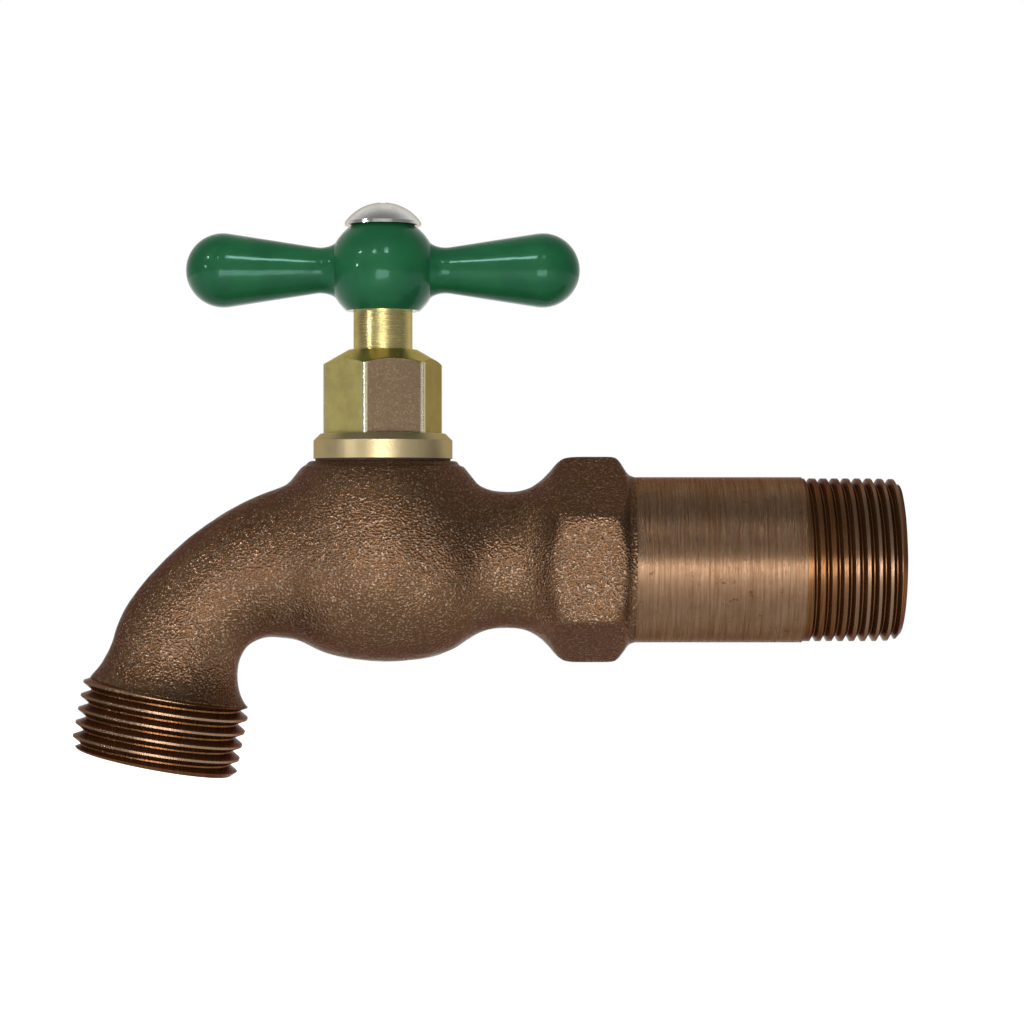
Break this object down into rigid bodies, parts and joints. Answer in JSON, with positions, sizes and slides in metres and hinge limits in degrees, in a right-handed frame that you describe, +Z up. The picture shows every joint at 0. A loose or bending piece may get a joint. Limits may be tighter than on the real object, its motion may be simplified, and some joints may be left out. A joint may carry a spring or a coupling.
{
  "type": "hose bibb",
  "caption": "Angled garden hose bibb with a long male pipe inlet, a hexagon for the wrench, a bent spout with a hose thread, a bonnet and a tee handle that lifts a washer off its seat.",
  "frame": {"origin": "centre of the inlet's end, on the axis of the run", "axes": "+X along the run, out of the inlet towards the supply pipe; +Z up the stem, towards the handle; the spout lies at -X and points down"},
  "size_m": [0.1329, 0.0348, 0.0926],
  "materials": {
    "cast_bronze": "rough sand casting, shank and threads turned",
    "bonnet_brass": "turned and milled bar",
    "stem_brass": "turned and polished",
    "inner_brass": "turned",
    "green_enamel": "glossy enamel over a casting",
    "nickel_plate": "polished nickel plate",
    "black_rubber": "smooth nitrile rubber",
    "seat_rubber": "matt moulded rubber",
    "red_fibre": "pressed fibre",
    "white_plastic": "low-friction plastic",
    "spring_steel": "bright wire"
  },
  "bodies": {
    "casing": {"body": "cast_bronze", "bonnet": "bonnet_brass", "bonnet_gasket": "red_fibre", "lower_stem_o_ring": "black_rubber", "upper_stem_o_ring": "black_rubber"},
    "riser": {"disc_holder": "inner_brass", "seat_washer": "seat_rubber", "seat_washer_screw": "inner_brass"},
    "spindle": {"stem": "stem_brass", "tee_handle": "green_enamel", "handle_screw": "nickel_plate", "stem_thrust_washer": "white_plastic", "holder_retaining_ring": "spring_steel"}
  },
  "joints": [
    {"name": "stem_rise", "type": "slide", "parent": "casing", "child": "riser", "axis": [0, 0, 1], "range_m": [0, 0.00571]},
    {"name": "handle_turn", "type": "hinge", "parent": "riser", "child": "spindle", "pos_m": [-0.083, 0, 0], "axis": [0, 0, 1], "range_deg": [0, 810]}
  ],
  "couplings": [
    {"joint": "handle_turn", "follows": "stem_rise", "rad_per_m": 2473.7}
  ]
}
